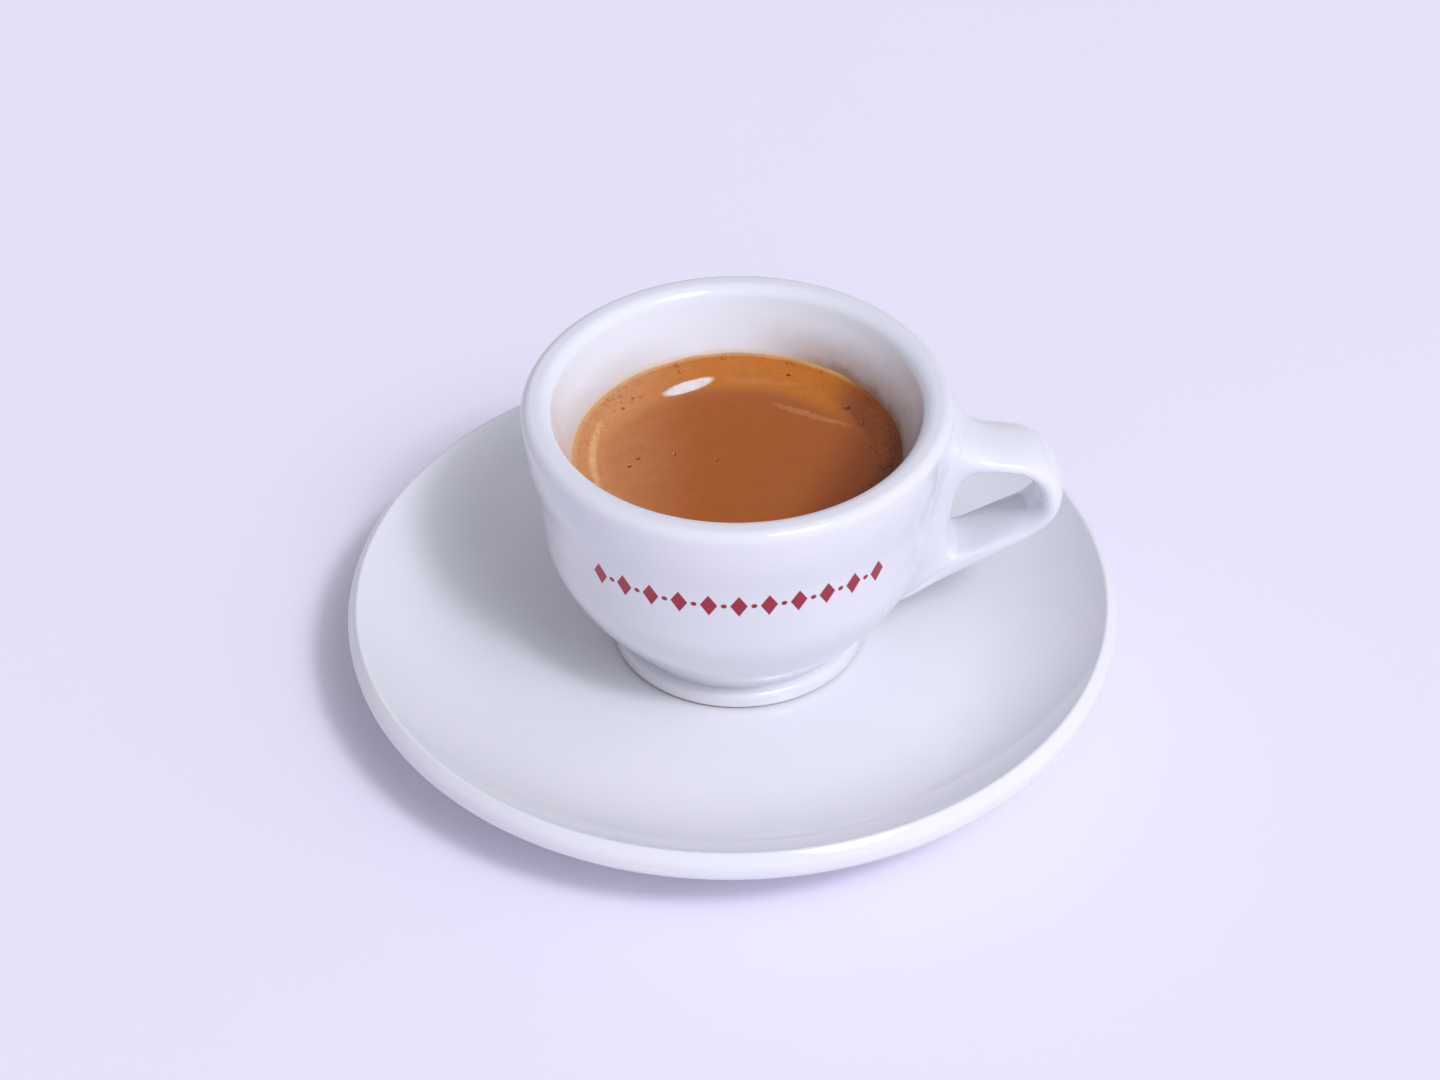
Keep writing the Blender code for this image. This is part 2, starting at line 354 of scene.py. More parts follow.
def step(value: float, low: float, high: float) -> float:
    """A smooth step from 0 at `low` to 1 at `high`."""
    share = max(0.0, min(1.0, (value - low) / (high - low)))
    return share * share * (3 - 2 * share)


def turned(outline: Outline, steps: int) -> bmesh.types.BMesh:
    """Turn an outline round the upright axis.

    Args:
        outline: the points, starting and ending on the axis.
        steps: how many straights stand for the turn.

    Returns:
        The closed shape, its faces pointing out.
    """
    shape = bmesh.new()
    corners = [shape.verts.new((p.x, 0, p.y)) for p in outline.points]
    edges = [shape.edges.new(pair) for pair in zip(corners, corners[1:])]
    bmesh.ops.spin(
        shape,
        geom=corners + edges,
        cent=(0, 0, 0),
        axis=(0, 0, 1),
        angle=2 * math.pi,
        steps=steps,
        use_merge=True,
    )
    bmesh.ops.remove_doubles(shape, verts=shape.verts, dist=AXIS_MERGE)
    bmesh.ops.recalc_face_normals(shape, faces=shape.faces)
    return shape


def piece_of(name: str, shape: bmesh.types.BMesh, centre: Vector) -> bpy.types.Object:
    """Object that holds the shape in its place, with the object itself at the origin."""
    bmesh.ops.translate(shape, verts=shape.verts, vec=centre)
    mesh = bpy.data.meshes.new(name)
    shape.to_mesh(mesh)
    shape.free()
    piece = bpy.data.objects.new(name, mesh)
    bpy.context.scene.collection.objects.link(piece)
    soften(mesh)
    return piece


def soften(mesh: bpy.types.Mesh, sharp: float = SHARP_ANGLE) -> None:
    """Shade smooth, apart from edges over the sharp angle."""
    mesh.shade_smooth()
    mesh.set_sharp_from_angle(angle=sharp)


def dressed(
    piece: bpy.types.Object, material: bpy.types.Material, solid: Solid, instead: bool = True
) -> bpy.types.Object:
    """Give a piece its material and put it on the part.

    Args:
        piece: the piece.
        material: its finish.
        solid: the solid that it belongs to.
        instead: whether it stands in the place of that solid.

    Returns:
        The piece.
    """
    piece.data.materials.clear()
    piece.data.materials.append(material)
    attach(piece, "root")
    if instead:
        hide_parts(solid.value)
    log.info("%s: %d faces", piece.name, len(piece.data.polygons))
    return piece


@dataclass(frozen=True)
class Fade:
    """A smooth step between two values of what it is read from, up to its share."""

    start: float
    end: float
    share: float = 1.0

    def of(self, signal: Signal) -> Signal:
        """How far the step has gone at a signal's value."""
        return signal.rise(self.start, self.end) * self.share


@dataclass(frozen=True)
class Cloud:
    """Soft noise about 0.5, whose size is in millimetres."""

    size: float
    detail: float = 2.0
    roughness: float = 0.5

    def at(self, place: Signal) -> Signal:
        """The noise at a place."""
        return place.recipe.node(
            "ShaderNodeTexNoise",
            sockets={
                "Vector": place,
                "Scale": 1 / self.size,
                "Detail": self.detail,
                "Roughness": self.roughness,
            },
        )

    def swing(self, place: Signal, reach: float) -> Signal:
        """The noise about nothing, `reach` from its lowest to its highest."""
        return (self.at(place) - 0.5) * reach


@dataclass(frozen=True)
class Ornament:
    """A row of enamel lozenges with a dot between each two, round the front of the cup, in mm."""

    colour: Colour = (0.36, 0.012, 0.035)
    level: float = 30.4
    reach: float = 45.2
    pitch: float = 8.4
    half_height: float = 2.2
    half_width: float = 1.3
    dot: float = 0.45
    radius: float = 30.6
    edge: float = 0.1
    skin: Fade = Fade(28.6, 28.9)

    def mask(self, recipe: Recipe, axes: Sequence[Signal]) -> Signal:
        """Where the enamel lies, from the x, y and height of a place off the cup's foot."""
        x, y, z = axes
        turn = recipe.maths("ARCTAN2", x, 0 - y)
        pitch = math.radians(self.pitch) * self.radius
        aside = abs(recipe.maths("WRAP", turn * self.radius, pitch / 2, -pitch / 2))
        above = abs(z - self.level)
        soft = self.edge / 2
        lozenge = (aside / self.half_width + above / self.half_height).rise(1 + soft, 1 - soft)
        off_dot = recipe.length(recipe.flat(pitch / 2 - aside, above))
        dot = off_dot.rise(self.dot + soft, self.dot - soft)
        reach = math.radians(self.reach)
        front = abs(turn).rise(reach, reach - self.edge / self.radius)
        outside = self.skin.of(recipe.length(recipe.flat(x, y)))
        return lozenge.at_least(dot) * front * outside


@dataclass(frozen=True)
class Film:
    """One film of coffee on the wall, with painted light in it: its colour, its side, and how it
    fades around and upwards.
    """

    colour: Colour
    side: Direction
    around: Fade
    upwards: Fade

    def share(self, across: Signal, above: Signal) -> Signal:
        """How much of it shows, by the direction from the axis and the height over the drink."""
        return self.around.of(across.recipe.along(across, self.side)) * self.upwards.of(above)


@dataclass(frozen=True)
class Stain:
    """Films of coffee on the wall above the drink, in mm. On the right they also carry painted
    shade, and on the left a painted reflection of the foam.

    The wall's own white is cooler there, which offsets the warm light that the drink throws on it.
    """

    level: float = 34.6
    white: Colour = (0.85, 0.895, 0.955)
    line: Colour = (0.74, 0.60, 0.34)
    inside: Fade = Fade(28.3, 28.0)
    within: Fade = Fade(30.5, 27.5)
    drink: Fade = Fade(-2.0, -1.0)
    line_height: Fade = Fade(1.5, 0.55, 0.6)
    line_wander: float = 0.25
    wander: Cloud = Cloud(3.0, 4.0, 0.6)
    wander_reach: float = 2.4
    films_with_painted_light: Sequence[Film] = (
        # left film: coffee, partly a painted reflection of the foam
        Film((0.60, 0.53, 0.47), (-0.94, 0.34, 0.0), Fade(0.55, 0.95), Fade(6.5, 1.0, 0.5)),
        # right film: coffee, darkened further as painted shade
        Film((0.42, 0.30, 0.21), (0.87, 0.50, 0.0), Fade(0.50, 0.95), Fade(7.5, 1.5, 0.62)),
    )
    # dark film just over the drink on the right: coffee dregs and painted shade
    dregs_and_painted_shade: Film = Film(
        (0.20, 0.075, 0.030), (0.87, 0.50, 0.0), Fade(0.72, 0.98), Fade(2.6, 0.6, 0.6)
    )

    def over(self, recipe: Recipe, colour: Signal, place: Signal, axes: Sequence[Signal]) -> Signal:
        """Lay the films, with their painted shade and reflection, over the glaze's colour."""
        x, y, z = axes
        flat = recipe.flat(x, y)
        radius = recipe.length(flat)
        height = z - self.level
        over_drink = self.drink.of(height)
        inside = self.inside.of(radius) * over_drink
        ragged = self.wander.swing(place, self.wander_reach)
        across = recipe.vectors("NORMALIZE", flat)
        colour = recipe.layer(colour, self.white, self.within.of(radius) * over_drink)
        for film in self.films_with_painted_light:
            share = film.share(across, height + ragged)
            colour = recipe.layer(colour, film.colour, share * inside)
        line = self.line_height.of(height + ragged * self.line_wander)
        colour = recipe.layer(colour, self.line, line * inside)
        dregs_and_painted_shade = self.dregs_and_painted_shade.share(across, height + ragged)
        return recipe.layer(colour, self.dregs_and_painted_shade.colour, dregs_and_painted_shade * inside)


@dataclass(frozen=True)
class Glaze:
    """Glossy white porcelain glaze, with bare clay where the foot was fired on it."""

    name: str
    centre: Vector
    white: Colour = (0.80, 0.80, 0.84)
    pooled: Colour = (0.765, 0.77, 0.825)
    clay: Colour = (0.60, 0.57, 0.52)
    speck: Colour = (0.50, 0.46, 0.42)
    refraction: float = 1.52
    gloss: float = 0.07
    clay_roughness: float = 0.65
    foot: Fade = Fade(0.5, 0.25)
    pools: Cloud = Cloud(16.0, 3.0)
    pool_fade: Fade = Fade(0.35, 0.65, 0.5)
    speck_spacing: float = 25 / 3
    speck_fade: Fade = Fade(0.022, 0.012, 0.35)
    smudge: Cloud = Cloud(9.0, 4.0, 0.6)
    smudge_fade: Fade = Fade(0.45, 0.75, 0.05)
    waves: Cloud = Cloud(5.0, 1.0)
    wave_depth: float = 0.012 * MM
    grain: Cloud = Cloud(0.25)
    grain_depth: float = 0.03 * MM

    def colour(self, recipe: Recipe, place: Signal, axes: Sequence[Signal]) -> Signal:
        """The glaze's white, a little uneven, with a few pin-sized specks."""
        pools = self.pool_fade.of(self.pools.at(place))
        colour = recipe.layer(self.white, self.pooled, pools)
        specks = self.speck_fade.of(recipe.cells(place, self.speck_spacing))
        return recipe.layer(colour, self.speck, specks)

    def mix(self) -> bpy.types.Material:
        """Make the material."""
        recipe = Recipe(bpy.data.materials.new(self.name))
        place = recipe.place(self.centre)
        axes = recipe.axes(place)
        bare = self.foot.of(axes[2])
        colour = recipe.layer(self.colour(recipe, place, axes), self.clay, bare)
        smudge = self.smudge_fade.of(self.smudge.at(place))
        roughness = (smudge + self.gloss).at_least(bare * self.clay_roughness)
        waves = recipe.relief(self.waves.at(place), self.wave_depth)
        grain = recipe.relief(self.grain.at(place) * bare, self.grain_depth, waves)
        return recipe.finish(
            Base_Color=colour, Roughness=roughness, Normal=grain, IOR=self.refraction
        )


@dataclass(frozen=True)
class CupGlaze(Glaze):
    """The saucer's glaze with the enamel ornament outside and, inside, the coffee's film with its
    painted shade and reflection.
    """

    stain: Stain = field(default_factory=Stain)
    ornament: Ornament = field(default_factory=Ornament)

    def colour(self, recipe: Recipe, place: Signal, axes: Sequence[Signal]) -> Signal:
        """The glaze's white under the film and the enamel."""
        colour = super().colour(recipe, place, axes)
        colour = self.stain.over(recipe, colour, place, axes)
        return recipe.layer(colour, self.ornament.colour, self.ornament.mask(recipe, axes))


@dataclass(frozen=True)
class Stroke:
    """A pale stroke of painted highlight on the foam, in mm, that lies square to an azimuth in
    degrees.

    It is `off` from the cup's axis, and its middle lies `middle` along it to the right.
    """

    azimuth: float
    off: float
    middle: float
    half_length: float
    half_width: float = 0.75
    fade: Fade = Fade(1.0, 0.45, 0.6)

    def share(self, flat: Signal, ragged: Signal) -> Signal:
        """How much of it shows at a place on the foam."""
        recipe = flat.recipe
        turn = math.radians(self.azimuth)
        across = (math.cos(turn), math.sin(turn), 0.0)
        onwards = (math.sin(turn), -math.cos(turn), 0.0)
        wide = (recipe.along(flat, across) - self.off + ragged) / self.half_width
        long = (recipe.along(flat, onwards) - self.middle) / self.half_length
        return self.fade.of(wide * wide + long * long)


@dataclass(frozen=True)
class Shores:
    """Where the foam's fields end, as fades of a radius or of a distance to one side, in mm."""

    back: Direction = (0.17, 0.98, 0.0)
    back_pull: float = 0.24
    right: Direction = (0.93, -0.37, 0.0)
    right_fade: Fade = Fade(6.0, 15.0)
    left_fade: Fade = Fade(4.0, 21.0)
    ring: Fade = Fade(18.6, 22.8)
    shore: Fade = Fade(18.9, 20.9, 0.9)
    # painted shadow of the right wall on the foam
    shade: Fade = Fade(10.5, 19.8, 0.85)
    froth: Fade = Fade(20.0, 24.0)
    # a painted highlight: a pale streak along the left wall
    streak_radius: float = 22.3
    streak_width: Fade = Fade(0.9, 0.2)
    streak_side: Fade = Fade(20.6, 21.9, 0.8)
    edge: Fade = Fade(-0.9, -0.1)


@dataclass(frozen=True)
class Crema:
    """The moist foam on an espresso, golden at its edge and brown in its middle, in mm, with
    painted shadow, painted highlights and a painted reflection in its colour.
    """

    centre: Vector
    radius: float
    brown: Colour = (0.40, 0.110, 0.022)
    # paler foam and beads, also the colour of the painted highlights and of the painted reflection
    # on the left
    cream_and_painted_highlight: Colour = (0.57, 0.220, 0.082)
    gold: Colour = (0.54, 0.168, 0.012)
    # pale foam on the left ring, and the colour of the painted highlight streak
    milk_and_painted_highlight: Colour = (0.82, 0.46, 0.22)
    straw: Colour = (0.66, 0.42, 0.19)
    # darker brown of the right shore, and the painted shadow of the right wall
    russet_and_painted_shade: Colour = (0.185, 0.044, 0.011)
    rust: Colour = (0.30, 0.070, 0.012)
    dark: Colour = (0.12, 0.030, 0.010)
    # the white of the painted reflection on the foam
    froth: Colour = (0.88, 0.83, 0.80)
    # shares of the paler left side, partly a painted reflection of the lit wall
    left_cream_and_reflection_share: float = 0.9
    gold_left: float = 0.35
    left_ring_and_reflection_share: float = 0.3
    straw_share: float = 0.8
    rust_share: float = 0.5
    pit_share: float = 0.8
    shores: Shores = field(default_factory=Shores)
    # painted highlights: pale arcs where the foam's slopes catch the light
    painted_highlight_strokes: Sequence[Stroke] = (
        Stroke(63.4, 13.8, 6.0, 8.0),
        Stroke(80.2, 18.7, 1.0, 8.0, fade=Fade(1.0, 0.45, 0.35)),
    )
    # painted reflection: a white patch where the lip's highlight mirrors in the foam
    painted_reflection: Stroke = Stroke(117.9, 18.76, 1.35, 5.0, 1.45, Fade(1.0, 0.45, 0.95))
    painted_reflection_wander: float = 0.25
    wander: Cloud = Cloud(5.0, 3.0, 0.55)
    wander_reach: float = 3.2
    fray: Cloud = Cloud(1.1, 4.0, 0.6)
    fray_reach: float = 2.0
    ragged_shares: Pair = (0.35, 0.6)
    left_wander: float = 0.6
    shore_fray: float = 1.2
    shade_fray: float = 0.5
    streak_fray: float = 0.3
    edge_fray: float = 0.25
    bead_spacing: float = 2 / 3
    bead_fade: Fade = Fade(0.34, 0.12)
    bead_share: float = 0.35
    mottle: Cloud = Cloud(2.2, 5.0, 0.62)
    mottle_fade: Fade = Fade(0.35, 0.70)
    grain: Cloud = Cloud(0.5, 3.0, 0.6)
    grain_fade: Fade = Fade(0.30, 0.75)
    speckle_shares: Pair = (0.16, 0.14)
    roughness: float = 0.07
    roughness_shares: Pair = (0.12, 0.05)
    swell: Cloud = Cloud(2.5)
    relief_depth: float = 0.03 * MM
    grain_relief: Pair = (0.3, 0.5)
    refraction: float = 1.34

    def fields(self, flat: Signal, x: Signal, ragged: Signal, wander: Signal) -> dict[str, Signal]:
        """How much each of the foam's fields shows at a place.

        Args:
            flat: the place, without its height.
            x: how far to the right it lies.
            ragged: what frays the fields' ends.
            wander: what bends them.

        Returns:
            The share of each field, by name.
        """
        recipe, shores = flat.recipe, self.shores
        radius = recipe.length(flat)
        pulled = recipe.along(flat, shores.back).at_least(0.0) * shores.back_pull
        side = recipe.along(flat, shores.right)
        right = shores.right_fade.of(side)
        shade = shores.shade.of(side + ragged * self.shade_fray)
        shore = shores.shore.of(radius + ragged * self.shore_fray)
        return {
            # lighter towards the left: paler foam, partly a painted reflection of the lit wall
            "left": shores.left_fade.of(wander * self.left_wander - x),
            "right": right,
            "ring": shores.ring.of(radius + ragged + pulled),
            # painted shadow of the right wall, joined with the darker brown of the right shore
            "shade": shade.at_least(shore * right),
            "froth": shores.froth.of(radius + wander),
        }

    def colour(self, place: Signal, flat: Signal, x: Signal, parts: dict[str, Signal]) -> Signal:
        """The foam's colour, laid field over field; painted light is among the fields.

        Args:
            place: a place on the foam.
            flat: the same, without its height.
            x: how far to the right it lies.
            parts: the share of each field, and the noise that frays them, by name.

        Returns:
            The colour.
        """
        recipe, shores = place.recipe, self.shores
        left, right, ring = parts["left"], parts["right"], parts["ring"]
        radius = recipe.length(flat)
        # lighter towards the left: paler foam, partly a painted reflection of the lit wall
        colour = recipe.layer(self.brown, self.cream_and_painted_highlight, left * self.left_cream_and_reflection_share)
        gold = ring * (1 - right) * (1 - left * (1 - self.gold_left))
        colour = recipe.layer(colour, self.gold, gold)
        colour = recipe.layer(colour, self.milk_and_painted_highlight, ring * left * self.left_ring_and_reflection_share)
        # painted highlights on the foam's slopes
        for stroke in self.painted_highlight_strokes:
            colour = recipe.layer(colour, self.cream_and_painted_highlight, stroke.share(flat, parts["ragged"]))
        # painted shadow on the right, with the darker foam of the right shore
        colour = recipe.layer(colour, self.russet_and_painted_shade, parts["shade"])
        # painted reflection of the lip's highlight on the foam
        painted_reflection = self.painted_reflection.share(flat, parts["ragged"] * self.painted_reflection_wander)
        colour = recipe.layer(colour, self.froth, painted_reflection)
        # painted highlight: a pale streak along the left wall
        off = abs(radius - shores.streak_radius + parts["fray"] * self.streak_fray)
        streak = shores.streak_width.of(off) * shores.streak_side.of(0 - x)
        colour = recipe.layer(colour, self.milk_and_painted_highlight, streak)
        edge = shores.edge.of(radius - self.radius + parts["fray"] * self.edge_fray)
        colour = recipe.layer(colour, self.straw, edge * (1 - right) * self.straw_share)
        colour = recipe.layer(colour, self.rust, edge * right * self.rust_share)
        colour = recipe.layer(colour, self.cream_and_painted_highlight, parts["beads"] * self.bead_share)
        mottle_share, grain_share = self.speckle_shares
        speckle = parts["mottle"] * mottle_share + parts["grain"] * grain_share
        colour = recipe.layer(colour, self.rust, speckle)
        pit = recipe.node("ShaderNodeAttribute", {"attribute_name": "pit"}, output="Fac")
        return recipe.layer(colour, self.dark, pit * self.pit_share)

    def mix(self) -> bpy.types.Material:
        """Make the material."""
        recipe = Recipe(bpy.data.materials.new("crema"))
        place = recipe.place(self.centre)
        x, y, _ = recipe.axes(place)
        flat = recipe.flat(x, y)
        wander = self.wander.swing(place, self.wander_reach)
        fray = self.fray.swing(place, self.fray_reach)
        wander_share, fray_share = self.ragged_shares
        ragged = wander * wander_share + fray * fray_share
        parts = self.fields(flat, x, ragged, wander)
        parts["ragged"], parts["fray"] = ragged, fray
        beads = self.bead_fade.of(recipe.cells(place, self.bead_spacing))
        parts["beads"] = beads * parts["froth"]
        parts["mottle"] = self.mottle_fade.of(self.mottle.at(place))
        parts["grain"] = self.grain_fade.of(self.grain.at(place))
        ring_share, mottle_share = self.roughness_shares
        roughness = parts["ring"] * ring_share + parts["mottle"] * mottle_share + self.roughness
        swell = recipe.relief(self.swell.at(place), self.relief_depth)
        least, more = self.grain_relief
        grain = parts["grain"] * (parts["ring"] * more + least)
        return recipe.finish(
            Base_Color=self.colour(place, flat, x, parts),
            Roughness=roughness,
            Normal=recipe.relief(parts["beads"] + grain, self.relief_depth, swell),
            IOR=self.refraction,
        )


@dataclass(frozen=True)
class Paper:
    """The pale matt surface that the saucer stands on."""

    white: Colour = (0.89, 0.86, 0.965)
    shade: Colour = (0.88, 0.852, 0.955)
    cloud: Cloud = Cloud(60.0)
    roughness: float = 0.85

    def mix(self) -> bpy.types.Material:
        """Make the material."""
        recipe = Recipe(bpy.data.materials.new("floor"))
        place = recipe.place(Vector((0, 0, 0)))
        colour = recipe.layer(self.white, self.shade, self.cloud.at(place))
        return recipe.finish(Base_Color=colour, Roughness=self.roughness)


@dataclass
class Saucer:
    """A round saucer with a flat middle, a dished side and a rolled lip. Heights off the table."""

    radius: float = 61.0 * MM
    floor: float = 8.7 * MM
    flat_radius: float = 37.5 * MM
    dish_curve: float = 34.0 * MM
    lip_inside: float = 59.0 * MM
    lip_crest: Pair = (59.5 * MM, 16.75 * MM)
    lip_shoulder: float = 15.2 * MM
    lip_under: float = 11.7 * MM
    lip_crest_round: float = 0.5 * MM
    lip_shoulder_round: float = 2.0 * MM
    lip_under_round: float = 2.4 * MM
    lip_under_rise: float = 0.9 * MM
    under_radius: float = 40.0 * MM
    under_height: float = 4.2 * MM
    foot_outside: float = 34.0 * MM
    foot_inside: float = 30.0 * MM
    foot_depth: float = 3.2 * MM
    foot_round: float = 0.7 * MM
    white: Colour = (0.82, 0.82, 0.85)
    pooled: Colour = (0.79, 0.795, 0.835)
    steps: int = 320

    def outline(self) -> Outline:
        """From the axis under the saucer, round its foot and lip, to the axis above."""
        run = self.lip_inside - self.flat_radius
        end = math.degrees(math.asin(run / self.dish_curve))
        centre = (self.flat_radius, self.floor + self.dish_curve)
        dish = Outline().arc(centre, self.dish_curve, end - 90, -90, 40).to((0, self.floor))
        foot = [
            (self.foot_inside - self.foot_depth / 2, self.foot_depth),
            (self.foot_inside, 0),
            (self.foot_outside, 0),
            (self.foot_outside + self.foot_round, self.under_height - self.foot_round),
            (self.under_radius, self.under_height),
            (self.radius - 2 * self.lip_under_round, self.lip_under - self.lip_under_rise),
            (self.radius, self.lip_under),
            (self.radius, self.lip_shoulder),
            self.lip_crest,
        ]
        line = Outline((0, self.foot_depth), foot[0])
        line.corner(foot[0], foot[1], foot[2], self.foot_round, 6)
        line.corner(foot[1], foot[2], foot[3], self.foot_round, 6)
        line.to(foot[3]).curve(foot[4:6], 12)
        line.corner(foot[5], foot[6], foot[7], self.lip_under_round, 12)
        line.corner(foot[6], foot[7], foot[8], self.lip_shoulder_round, 8)
        line.corner(foot[7], foot[8], tuple(dish.points[0]), self.lip_crest_round, 8)
        line.points += dish.points
        return line

    def build(self) -> bpy.types.Object:
        """Turn the saucer and glaze it."""
        centre = Vector((0, 0, 0))
        piece = piece_of("glazed_saucer", turned(self.outline(), self.steps), centre)
        glaze = Glaze("saucer_glaze", centre, white=self.white, pooled=self.pooled)
        return dressed(piece, glaze.mix(), Solid.SAUCER)


@dataclass
class Handle:
    """An ear-shaped handle: cuts right round its finger hole, each from the hole to the outside.

    A cut is ((x, height) at the hole, (x, height) outside), off the axis and foot of the cup.
    """

    cuts: Sequence[tuple[Pair, Pair]] = (
        ((41.0, 33.5), (41.4, 37.4)),
        ((38.6, 33.6), (38.6, 37.8)),
        ((36.4, 33.4), (36.0, 38.6)),
        ((34.9, 32.7), (34.1, 39.9)),
        ((33.9, 31.5), (32.9, 41.4)),
        ((33.4, 29.8), (30.4, 41.0)),
        ((33.2, 27.0), (28.8, 34.0)),
        ((33.1, 24.0), (27.8, 26.0)),
        ((33.0, 21.0), (26.6, 19.0)),
        ((33.2, 18.9), (23.8, 13.0)),
        ((33.9, 18.0), (21.5, 9.2)),
        ((35.3, 18.3), (24.6, 9.0)),
        ((37.5, 19.4), (29.5, 11.6)),
        ((40.0, 20.9), (34.5, 14.5)),
        ((42.7, 22.6), (40.0, 17.6)),
        ((45.0, 24.6), (45.6, 20.7)),
        ((46.4, 27.2), (49.4, 24.4)),
        ((46.0, 30.2), (50.3, 29.0)),
        ((44.5, 32.4), (48.5, 33.9)),
        ((42.9, 33.2), (45.1, 36.5)),
    )
    width_top: float = 11.8 * MM
    width_low: float = 10.4 * MM
    width_levels: Pair = (15.0 * MM, 36.0 * MM)
    thickness: float = 4.0 * MM
    squareness: float = 2.1
    root_round: float = 6.0 * MM
    root_spread: float = 2.8 * MM
    root_nearest: float = 0.004
    steps_around: int = 56
    steps_between: int = 9

    def width(self, height: float) -> float:
        """Width at a height, a little less lower down."""
        low, high = self.width_levels
        share = max(0.0, min(1.0, (height - low) / (high - low)))
        return self.width_low + (self.width_top - self.width_low) * share

    def section(
        self, inner: Vector, outer: Vector, clearance: Callable[[Vector], float]
    ) -> list[Vector]:
        """Outline of one cut, widening where it runs into the cup's wall.

        Args:
            inner: (x, height) at the finger hole.
            outer: (x, height) outside.
            clearance: distance of a point from the cup's wall.

        Returns:
            The points round the cut.
        """
        middle = (inner + outer) / 2
        half = (outer - inner) / 2
        squareness = self.squareness * max(1.0, 2 * half.length / self.thickness)
        points = []
        for k in range(self.steps_around):
            turn = 2 * math.pi * k / self.steps_around
            wide, deep = (
                math.copysign(abs(v) ** (2 / squareness), v)
                for v in (math.cos(turn), math.sin(turn))
            )
            flat = middle + half * deep
            point = Vector((flat.x, wide * self.width(flat.y) / 2, flat.y))
            share = max(self.root_nearest, min(1.0, clearance(point) / self.root_round))
            point.y += wide * self.root_spread * (1 - math.sqrt(1 - (1 - share) ** 2))
            points.append(point)
        return points

    def shape(self, clearance: Callable[[Vector], float]) -> bmesh.types.BMesh:
        """The closed ring, each cut's outline extruded from the one before it."""
        inner, outer = (
            smooth_ring([Vector(cut[k]) * MM for cut in self.cuts], self.steps_between)
            for k in (0, 1)
        )
        rings = [self.section(a, b, clearance) for a, b in zip(inner, outer)]
        shape = bmesh.new()
        made = bmesh.ops.create_circle(shape, segments=self.steps_around, radius=MM)
        front = list(made["verts"])
        set_corners(front, rings[0])
        rim = list(shape.edges)
        for ring in rings[1:] + rings[:1]:
            grown = bmesh.ops.extrude_edge_only(shape, edges=rim)["geom"]
            fresh = {item for item in grown if isinstance(item, bmesh.types.BMVert)}
            rim = [
                item
                for item in grown
                if isinstance(item, bmesh.types.BMEdge) and fresh.issuperset(item.verts)
            ]
            front = [
                next(e.other_vert(v) for e in v.link_edges if e.other_vert(v) in fresh)
                for v in front
            ]
            set_corners(front, ring)
        bmesh.ops.remove_doubles(shape, verts=shape.verts, dist=AXIS_MERGE)
        bmesh.ops.recalc_face_normals(shape, faces=shape.faces)
        return shape


def set_corners(corners: Iterable[bmesh.types.BMVert], points: Iterable[Vector]) -> None:
    """Move each corner to its point."""
    for corner, point in zip(corners, points):
        corner.co = point


def united(item: bpy.types.Object, tool: bpy.types.Object) -> None:
    """Unite a second object with the first, remove the second and blend their seam."""
    for number, part in enumerate((item, tool)):
        for name in ("bowl", "handle"):
            part.data.materials.append(bpy.data.materials.get(name) or bpy.data.materials.new(name))
        part.data.polygons.foreach_set("material_index", [number] * len(part.data.polygons))
    union = item.modifiers.new("join", "BOOLEAN")
    union.operation = "UNION"
    union.solver = "EXACT"
    union.object = tool
    bpy.context.view_layer.update()
    graph = bpy.context.evaluated_depsgraph_get()
    result = bpy.data.meshes.new_from_object(item.evaluated_get(graph))
    item.modifiers.clear()
    item.data = result
    bpy.data.objects.remove(tool, do_unlink=True)
    blended(result)


def blended(mesh: bpy.types.Mesh, weld: float = 0.1 * MM, rounds: int = 30, rings: int = 5) -> None:
    """Smooth the seam between faces of two materials, and leave one material index.

    Args:
        mesh: the united mesh.
        weld: corners at the seam nearer to each other than this become one.
        rounds: how often the seam's corners are smoothed.
        rings: how many rings of faces beside the seam are smoothed with it.
    """
    shape = bmesh.new()
    shape.from_mesh(mesh)
    seam = seam_corners(shape)
    bmesh.ops.remove_doubles(shape, verts=list(seam), dist=weld)
    near = seam_corners(shape)
    for _ in range(rings):
        near |= {v for face in {f for v in near for f in v.link_faces} for v in face.verts}
    for _ in range(rounds):
        bmesh.ops.smooth_vert(
            shape, verts=list(near), factor=0.5, use_axis_x=True, use_axis_y=True, use_axis_z=True
        )
    for face in shape.faces:
        face.material_index = 0
    shape.to_mesh(mesh)
    shape.free()


def seam_corners(shape: bmesh.types.BMesh) -> set[bmesh.types.BMVert]:
    """Corners where faces of two materials meet."""
    return {v for v in shape.verts if len({f.material_index for f in v.link_faces}) > 1}


